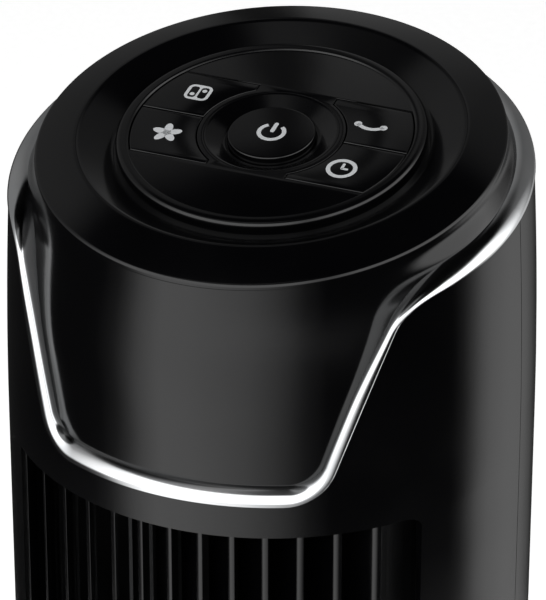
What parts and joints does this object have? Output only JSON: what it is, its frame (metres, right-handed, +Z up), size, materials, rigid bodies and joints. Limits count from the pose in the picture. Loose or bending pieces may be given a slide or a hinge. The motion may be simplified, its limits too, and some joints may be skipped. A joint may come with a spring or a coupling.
{
  "type": "tower fan",
  "caption": "Upright black tower fan with a slanted-blade front grille, a bright shield-shaped trim line, a tilted control head and a round base on which the column swings.",
  "frame": {"origin": "on the floor, in the middle of the base", "axes": "+Z up along the column's axis, -Y to the front where the air leaves, +X to the fan's left hand side as seen from inside it and to the viewer's right when facing the grille"},
  "size_m": [0.3, 0.2995, 0.9197],
  "materials": {
    "gloss_black_abs": "high gloss moulded ABS",
    "satin_black_abs": "fine spark-eroded moulded ABS",
    "dark_wheel_plastic": "glass-filled styrene, moulded matt",
    "chromed_abs": "bright chrome-plated ABS",
    "black_rubber": "moulded rubber",
    "zinc_steel": "zinc-plated steel",
    "white_acetal": "moulded acetal",
    "grey_casting": "rough cast, dipped grey",
    "motor_can": "pressed steel, zinc finish",
    "circuit_board": "fibreglass laminate with green mask"
  },
  "bodies": {
    "base": {"base_cover": "gloss_black_abs", "base_plate": "satin_black_abs", "base_screws": "zinc_steel", "rubber_feet": "black_rubber", "ballast_ring": "grey_casting", "cord_gland": "black_rubber", "pivot_post": "zinc_steel", "pivot_nut": "satin_black_abs", "swing_gear": "white_acetal", "thrust_ring": "white_acetal"},
    "column": {"turntable": "satin_black_abs", "swing_motor": "motor_can", "fan_motor": "motor_can", "motor_screws": "zinc_steel", "lower_deck": "satin_black_abs", "top_bush": "black_rubber", "bearing_holder": "satin_black_abs", "upper_deck": "satin_black_abs", "scroll_panel": "satin_black_abs", "tongue_panel": "satin_black_abs", "front_shell": "gloss_black_abs", "rear_shell": "gloss_black_abs", "handle_cup": "satin_black_abs", "trim_strip": "chromed_abs", "head_shell": "gloss_black_abs", "top_ring": "gloss_black_abs", "control_panel": "gloss_black_abs", "control_board": "circuit_board", "board_switches": "satin_black_abs", "board_screws": "zinc_steel"},
    "wheel": {"cross_flow_wheel": "dark_wheel_plastic", "wheel_pin": "zinc_steel", "motor_shaft": "zinc_steel"},
    "pinion": {"swing_pinion": "white_acetal"},
    "power button": {"power_button": "gloss_black_abs"},
    "speed key": {"speed_key": "gloss_black_abs"},
    "mode key": {"mode_key": "gloss_black_abs"},
    "timer key": {"timer_key": "gloss_black_abs"},
    "swing key": {"swing_key": "gloss_black_abs"}
  },
  "joints": [
    {"name": "column_swing", "type": "hinge", "parent": "base", "child": "column", "pos_m": [0, 0, 0.044], "axis": [0, 0, 1], "range_deg": [-35, 35]},
    {"name": "wheel_spin", "type": "hinge", "parent": "column", "child": "wheel", "pos_m": [0, 0, 0.48], "axis": [0, 0, 1], "continuous": true},
    {"name": "pinion_spin", "type": "hinge", "parent": "column", "child": "pinion", "pos_m": [0, 0.045, 0.03], "axis": [0, 0, 1], "range_deg": [-140, 140]},
    {"name": "power_button_press", "type": "slide", "parent": "column", "child": "power button", "axis": [0, 0.1633, -0.9866], "range_m": [0, 0.0007], "stiffness_N_per_m": 400, "springref_m": -0.0006},
    {"name": "speed_key_press", "type": "slide", "parent": "column", "child": "speed key", "axis": [0, 0.1633, -0.9866], "range_m": [0, 0.0007], "stiffness_N_per_m": 400, "springref_m": -0.0006},
    {"name": "mode_key_press", "type": "slide", "parent": "column", "child": "mode key", "axis": [0, 0.1633, -0.9866], "range_m": [0, 0.0007], "stiffness_N_per_m": 400, "springref_m": -0.0006},
    {"name": "timer_key_press", "type": "slide", "parent": "column", "child": "timer key", "axis": [0, 0.1633, -0.9866], "range_m": [0, 0.0007], "stiffness_N_per_m": 400, "springref_m": -0.0006},
    {"name": "swing_key_press", "type": "slide", "parent": "column", "child": "swing key", "axis": [0, 0.1633, -0.9866], "range_m": [0, 0.0007], "stiffness_N_per_m": 400, "springref_m": -0.0006}
  ],
  "couplings": [
    {"joint": "pinion_spin", "follows": "column_swing", "ratio": 4}
  ]
}
